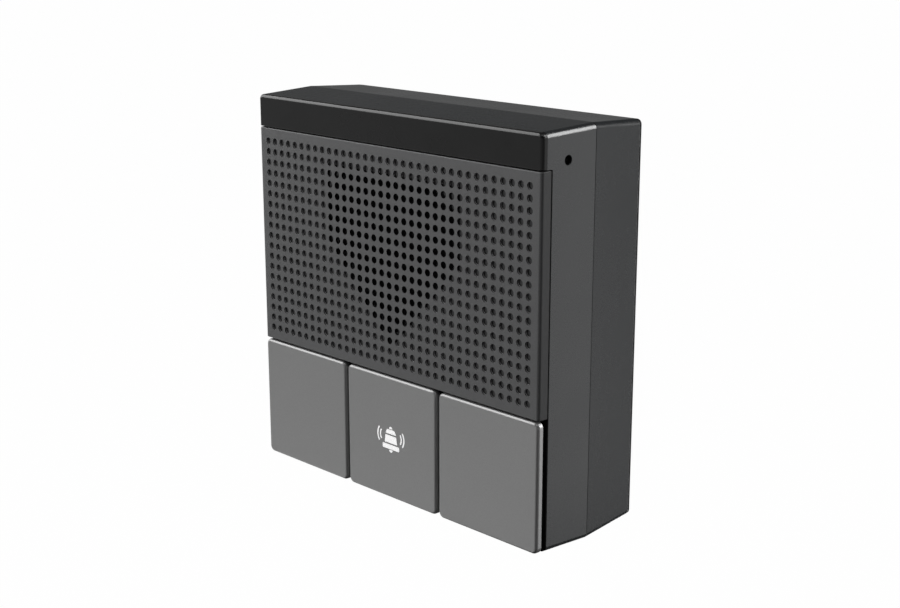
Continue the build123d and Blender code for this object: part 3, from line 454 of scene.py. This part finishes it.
def paintedSheet(name, look):
    # satin paint with fine flakes over punched sheet; painted shade and painted light on the walls of the
    # holes, painted shade on the folded sides
    material, tree, shader, point = startFinish(name, look)
    peel = noise(tree, point, scale=900, detail=2.0)
    x, y, z = axes(tree, point)
    out = mathNode(tree, "MULTIPLY", y, -1.0)
    aside = mathNode(tree, "ABSOLUTE", x)

    # the window is a rectangle cut to a point below: z - |x| stays above the point
    halfWindow, windowTop, windowPoint = look["window"]
    clear = past(tree, mathNode(tree, "SUBTRACT", z, aside), windowPoint)
    clear = mathNode(tree, "MULTIPLY", clear, before(tree, aside, halfWindow))
    clear = mathNode(tree, "MULTIPLY", clear, before(tree, z, windowTop))
    # painted shade at the front of the hole walls, painted light deeper in
    deepStart, deepEnd = look["deep"]
    deep = spread(tree, out, 1.0, 0.0, deepStart, deepEnd)
    wall = shade(tree, deep, look["wallShadeColour"], look["paintedLightDeepColour"])
    # painted shadow: walls of the open holes near black
    wall = shade(tree, clear, wall, look["paintedShadowOpenColour"])

    # painted shade: the folded sides darker, with less specular
    foldStart, foldEnd = look["fold"]
    folded = spread(tree, aside, 0.0, 1.0, foldStart, foldEnd)
    paint = flaked(tree, point, look["colour"], look["flake"], scale=5200)
    paint = shade(tree, folded, paint, scaled(look["colour"], look["foldShadeShare"]))
    polish = mixValue(tree, folded, look["specular"], look["foldSpecular"])
    link(tree, polish, shader, "Specular IOR Level")

    halfWidth, lowZ, highZ = look["field"]
    inField = mathNode(tree, "MULTIPLY", before(tree, aside, halfWidth), between(tree, z, lowZ, highZ))
    sunkStart, sunkEnd = look["sunk"]
    sunk = spread(tree, out, 1.0, 0.0, sunkStart, sunkEnd)
    inHole = mathNode(tree, "MULTIPLY", inField, sunk)
    link(tree, shade(tree, inHole, paint, wall), shader, "Base Color")
    link(tree, swung(tree, peel, look["roughness"], swing=0.05), shader, "Roughness")
    relief(tree, shader, peel, depth=3e-6)
    return material


keyLook = {
    "colour": (0.325, 0.325, 0.325), "flake": 0.05,
    "roughness": 0.33, "metallic": 0.55, "specular": 0.5,
}


def flakePaint(name, look):
    # metallic paint: tiny flakes under an even satin gloss
    material, tree, shader, point = startFinish(name, look)
    cloud = noise(tree, point, scale=55)
    fine = noise(tree, point, scale=3000, detail=2.0)
    link(tree, flaked(tree, point, look["colour"], look["flake"], scale=6500), shader, "Base Color")
    link(tree, swung(tree, cloud, look["roughness"], swing=0.03), shader, "Roughness")
    relief(tree, shader, fine, depth=1.5e-6)
    return material


def printedInk(name, look):
    # solid white filling with a slightly uneven skin and a painted glow
    material, tree, shader, point = startFinish(name, look)
    # painted glow that lifts the ink to white
    shader.inputs["Emission Color"].default_value = (1, 1, 1, 1)
    shader.inputs["Emission Strength"].default_value = look["glow"]
    fine = noise(tree, point, scale=1800)
    link(tree, mottled(tree, point, look["colour"], swing=0.03, scale=700), shader, "Base Color")
    link(tree, spread(tree, fine, low=0.40, high=0.52), shader, "Roughness")
    relief(tree, shader, fine, depth=3e-6)
    return material


def rubberSkin(name, look):
    # matt rubber with a chalky bloom
    material, tree, shader, point = startFinish(name, look)
    bloom = noise(tree, point, scale=260, detail=5.0)
    fine = noise(tree, point, scale=1900, detail=2.0)
    chalk, chalkShare = 0.004, 1.35
    pale = tuple(channel + chalk for channel in scaled(look["colour"], chalkShare))
    chalky = spread(tree, bloom, 0, 1, start=0.4, end=0.8)
    link(tree, shade(tree, chalky, look["colour"], pale), shader, "Base Color")
    link(tree, spread(tree, bloom, low=look["roughness"], high=look["roughness"] + 0.12), shader, "Roughness")
    relief(tree, shader, fine, depth=8e-6)
    return material


def wovenCloth(name, look):
    # plain weave: stripes across X and Z take turns on top
    material, tree, shader, point = startFinish(name, look)
    warp = bands(tree, point, "X", look["pitch"])
    weft = bands(tree, point, "Z", look["pitch"])
    top = mathNode(tree, "MAXIMUM", warp, weft)
    link(tree, shade(tree, top, scaled(look["colour"], share=0.45), look["colour"]), shader, "Base Color")
    link(tree, spread(tree, noise(tree, point, scale=500), low=0.75, high=0.92), shader, "Roughness")
    relief(tree, shader, top, depth=6e-5)
    return material


def pressedPaper(name, look):
    # felted fibre pulp
    material, tree, shader, point = startFinish(name, look)
    fibre = noise(tree, stretched(tree, point, (1, 3, 1)), scale=1100, detail=6.0)
    link(tree, mottled(tree, point, look["colour"], swing=0.25, scale=900), shader, "Base Color")
    link(tree, spread(tree, fibre, low=0.72, high=0.9), shader, "Roughness")
    relief(tree, shader, fibre, depth=3e-5)
    return material


def drawnMetal(name, look):
    # plated or drawn metal: fine lines along one direction and a slight tarnish
    material, tree, shader, point = startFinish(name, {"metallic": 1.0, **look})
    lines = noise(tree, stretched(tree, point, look.get("along", (1, 1, 12))), scale=700, detail=4.0)
    tarnish = spread(tree, noise(tree, point, scale=180), 0, 1)
    dull = scaled(look["colour"], share=0.78)
    link(tree, shade(tree, tarnish, dull, look["colour"]), shader, "Base Color")
    rough = look["roughness"]
    link(tree, spread(tree, lines, low=rough - 0.08, high=rough + 0.10), shader, "Roughness")
    relief(tree, shader, lines, depth=4e-6)
    return material


def woundWire(name, look):
    # enamelled wire in even turns along the depth
    material, tree, shader, point = startFinish(name, {"metallic": 1.0, **look})
    turns = bands(tree, point, "Y", look["pitch"])
    link(tree, shade(tree, turns, scaled(look["colour"], share=0.4), look["colour"]), shader, "Base Color")
    link(tree, spread(tree, noise(tree, point, scale=900), low=0.25, high=0.4), shader, "Roughness")
    relief(tree, shader, turns, depth=6e-5)
    return material


boardLook = {
    "colour": (0.012, 0.10, 0.035), "trackColour": (0.02, 0.19, 0.07), "padColour": (0.72, 0.55, 0.25),
    "trackPitch": (0.001594, 0.002191),   # of the tracks that run upright and of those that run across
    "padMetal": 0.9, "specular": 0.5,
}


def boardMask(name, look):
    # solder mask over copper: runs of track show as paler lines, plated pads as dots
    material, tree, shader, point = startFinish(name, look)
    uprightPitch, acrossPitch = look["trackPitch"]
    upright = spread(tree, bands(tree, point, "X", uprightPitch), 0, 1, start=0.80, end=0.88)
    across = spread(tree, bands(tree, point, "Z", acrossPitch), 0, 1, start=0.84, end=0.9)
    choose = spread(tree, noise(tree, point, scale=90, detail=1.0), 0, 1, start=0.47, end=0.53)
    track = mixValue(tree, choose, upright, across)
    dots = cells(tree, point, scale=330, randomness=0.6)["Distance"]
    pad = spread(tree, dots, 1, 0, start=0.16, end=0.19)
    mask = shade(tree, track, look["colour"], look["trackColour"])
    link(tree, shade(tree, pad, mask, look["padColour"]), shader, "Base Color")
    link(tree, mathNode(tree, "MULTIPLY", pad, look["padMetal"]), shader, "Metallic")
    link(tree, spread(tree, noise(tree, point, scale=600), low=0.28, high=0.4), shader, "Roughness")
    relief(tree, shader, mathNode(tree, "MAXIMUM", track, pad), depth=2e-5)
    return material


def flatCable(name, look):
    # parallel cores under a clear film
    material, tree, shader, point = startFinish(name, look)
    cores = bands(tree, point, "X", look["pitch"])
    bare = spread(tree, cores, 0, 1, start=0.55, end=0.7)
    link(tree, shade(tree, bare, look["colour"], look["coreColour"]), shader, "Base Color")
    link(tree, spread(tree, noise(tree, point, scale=300), low=0.25, high=0.4), shader, "Roughness")
    relief(tree, shader, cores, depth=3e-5)
    return material


def sinteredCore(name, look):
    # dull grains with small pits
    material, tree, shader, point = startFinish(name, look)
    pits = cells(tree, point, scale=2600)["Distance"]
    link(tree, mottled(tree, point, look["colour"], swing=0.3, scale=1500), shader, "Base Color")
    link(tree, spread(tree, pits, low=0.75, high=0.55, start=0.0, end=0.5), shader, "Roughness")
    relief(tree, shader, pits, depth=2e-5)
    return material


def clearResin(name, look):
    # cast resin with a cloudy core
    material, tree, shader, point = startFinish(name, look)
    cloud = noise(tree, point, scale=900)
    link(tree, mottled(tree, point, look["colour"], swing=0.12, scale=800), shader, "Base Color")
    link(tree, spread(tree, cloud, low=0.12, high=0.25), shader, "Roughness")
    relief(tree, shader, cloud, depth=6e-6)
    return material


plateLook = {
    "colour": (0.010, 0.010, 0.0105), "roughness": 0.60, "specular": 0.2, "depth": 6e-6,
    "paintedLightWallColour": (0.050, 0.050, 0.053), "wallRamp": (-3e-4, -2e-4),   # painted light: paler on the face towards the wall
}

finishes = {
    "dark_case": (caseFinish, caseLook),
    "gloss_black": (glossPanel, trimLook),
    "grille_metal": (paintedSheet, grilleLook),
    "key_grey": (flakePaint, keyLook),
    # the pictogram's glow is painted light
    "pictogram": (printedInk, {"colour": (0.92, 0.92, 0.92), "specular": 0.3, "glow": 0.45}),
    "silicone": (rubberSkin, {"colour": (0.52, 0.53, 0.53), "roughness": 0.55}),
    "black_rubber": (rubberSkin, {"colour": (0.018, 0.018, 0.018), "roughness": 0.6}),
    "black_cloth": (wovenCloth, {
        "colour": (0.006, 0.006, 0.006), "pitch": 0.0006, "specular": 0.1, "sheen": 0.1,
    }),
    "woven_cloth": (wovenCloth, {"colour": (0.50, 0.36, 0.14), "pitch": 0.0008, "specular": 0.3}),
    "cone_paper": (pressedPaper, {"colour": (0.028, 0.028, 0.028), "specular": 0.25}),
    "pressed_steel": (drawnMetal, {"colour": (0.55, 0.55, 0.57), "roughness": 0.34}),
    "magnet_plating": (drawnMetal, {"colour": (0.60, 0.59, 0.57), "roughness": 0.22}),
    "tinned_steel": (drawnMetal, {"colour": (0.66, 0.66, 0.66), "roughness": 0.30, "along": (12, 1, 1)}),
    "copper_wire": (woundWire, {"colour": (0.68, 0.28, 0.12), "pitch": 0.0003}),
    "board": (boardMask, boardLook),
    "strip": (mouldedPlastic, {"colour": (0.30, 0.19, 0.09), "roughness": 0.5, "grain": 900}),
    "led": (clearResin, {"colour": (0.85, 0.80, 0.55), "specular": 0.5, "coat": 0.4}),
    "connector": (mouldedPlastic, {"colour": (0.74, 0.71, 0.63), "roughness": 0.45}),
    "jack_shell": (drawnMetal, {"colour": (0.64, 0.63, 0.60), "roughness": 0.26, "along": (1, 12, 1)}),
    "gold_contact": (drawnMetal, {"colour": (0.88, 0.64, 0.24), "roughness": 0.2}),
    "terminal_green": (mouldedPlastic, {"colour": (0.04, 0.29, 0.09), "roughness": 0.42}),
    "chip": (mouldedPlastic, {"colour": (0.016, 0.016, 0.017), "roughness": 0.55, "grain": 3200}),
    "ferrite": (sinteredCore, {"colour": (0.05, 0.05, 0.052), "specular": 0.4}),
    "capacitor_can": (drawnMetal, {"colour": (0.68, 0.68, 0.70), "roughness": 0.28, "along": (1, 12, 1)}),
    "capsule": (drawnMetal, {"colour": (0.62, 0.62, 0.62), "roughness": 0.3, "along": (12, 1, 1)}),
    "ribbon": (flatCable, {"colour": (0.74, 0.74, 0.70), "coreColour": (0.50, 0.45, 0.36), "pitch": 0.001}),
    "lead": (mouldedPlastic, {"colour": (0.33, 0.02, 0.02), "roughness": 0.4, "grain": 700, "swing": 0.12}),
    "screw_steel": (drawnMetal, {"colour": (0.52, 0.52, 0.53), "roughness": 0.32, "along": (6, 6, 1)}),
    "plate": (mouldedPlastic, plateLook),
}
made = {slotName: maker(slotName + "Finish", look) for slotName, (maker, look) in finishes.items()}
for part in record["subparts"]:
    for slot in nodes[part["node"]].material_slots:
        slot.material = made[part["material_slot"]]
print(len(made), "finishes on", len(record["subparts"]), "nodes")


# silicone domes that give way under the keys

domeLook = {
    "foot": 0.0050, "top": 0.0030,        # radius of the skirt at its foot and at the top
    "flange": 0.0006, "wall": 0.0006,     # thickness of the flange and of the skirt
    "rings": 12, "turns": 48,             # points down the skirt and round the axis
    "weld": 1e-7, "sharpFrom": 40,        # metres and degrees
}


def domeSection(look, rim, height):
    # half section as radius and height: top, skirt, flange, then back up inside
    # the skirt narrows from foot to top by s^2 (3 - 2 s), with s from 0 to 1 over its height
    share = np.linspace(1.0, 0.0, look["rings"])
    ease = share ** 2 * (3 - 2 * share)
    skirt = look["foot"] - (look["foot"] - look["top"]) * ease
    outside = np.column_stack([skirt, look["flange"] + (height - look["flange"]) * share])
    inside = np.column_stack([skirt - look["wall"], (height - look["wall"]) * share])[::-1]
    flange = [(rim, look["flange"]), (rim, 0.0)]
    return np.vstack([[(0.0, height)], outside, flange, inside, [(0.0, height - look["wall"])]])


def addDome(side, look):
    # the section carried once round the key's axis, which runs along Y
    low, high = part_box(side + "_dome")
    x, z = (low[0] + high[0]) / 2, (low[2] + high[2]) / 2
    board, height = high[1], high[1] - low[1]
    section = domeSection(look, (high[0] - low[0]) / 2, height)
    radius, rise = section[:, :1], section[:, 1:]
    angle = np.linspace(0, 2 * pi, look["turns"], endpoint=False)
    rings = np.broadcast_arrays(x + radius * np.cos(angle), board - rise, z + radius * np.sin(angle))
    points = np.stack(rings, axis=-1)
    here = np.arange(len(section) * look["turns"]).reshape(-1, look["turns"])
    ahead = np.roll(here, -1, axis=1)
    faces = np.stack([here[:-1], ahead[:-1], ahead[1:], here[1:]], axis=-1)
    mesh = bpy.data.meshes.new(side + "KeyDome")
    mesh.from_pydata(points.reshape(-1, 3).tolist(), [], faces.reshape(-1, 4).tolist())

    shell = bmesh.new()
    shell.from_mesh(mesh)
    bmesh.ops.remove_doubles(shell, verts=shell.verts, dist=look["weld"])   # closes the two poles
    bmesh.ops.recalc_face_normals(shell, faces=shell.faces)
    shell.to_mesh(mesh)
    shell.free()
    mesh.shade_smooth()
    mesh.set_sharp_from_angle(angle=radians(look["sharpFrom"]))
    mesh.materials.append(made["silicone"])

    dome = addObject(side + "KeyDome", mesh)
    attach(dome, "housing")
    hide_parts(side + "_dome")
    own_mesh(dome)


keySides = ("left", "middle", "right")
for side in keySides:
    addDome(side, domeLook)
print(len(keySides), "domes set under the keys")
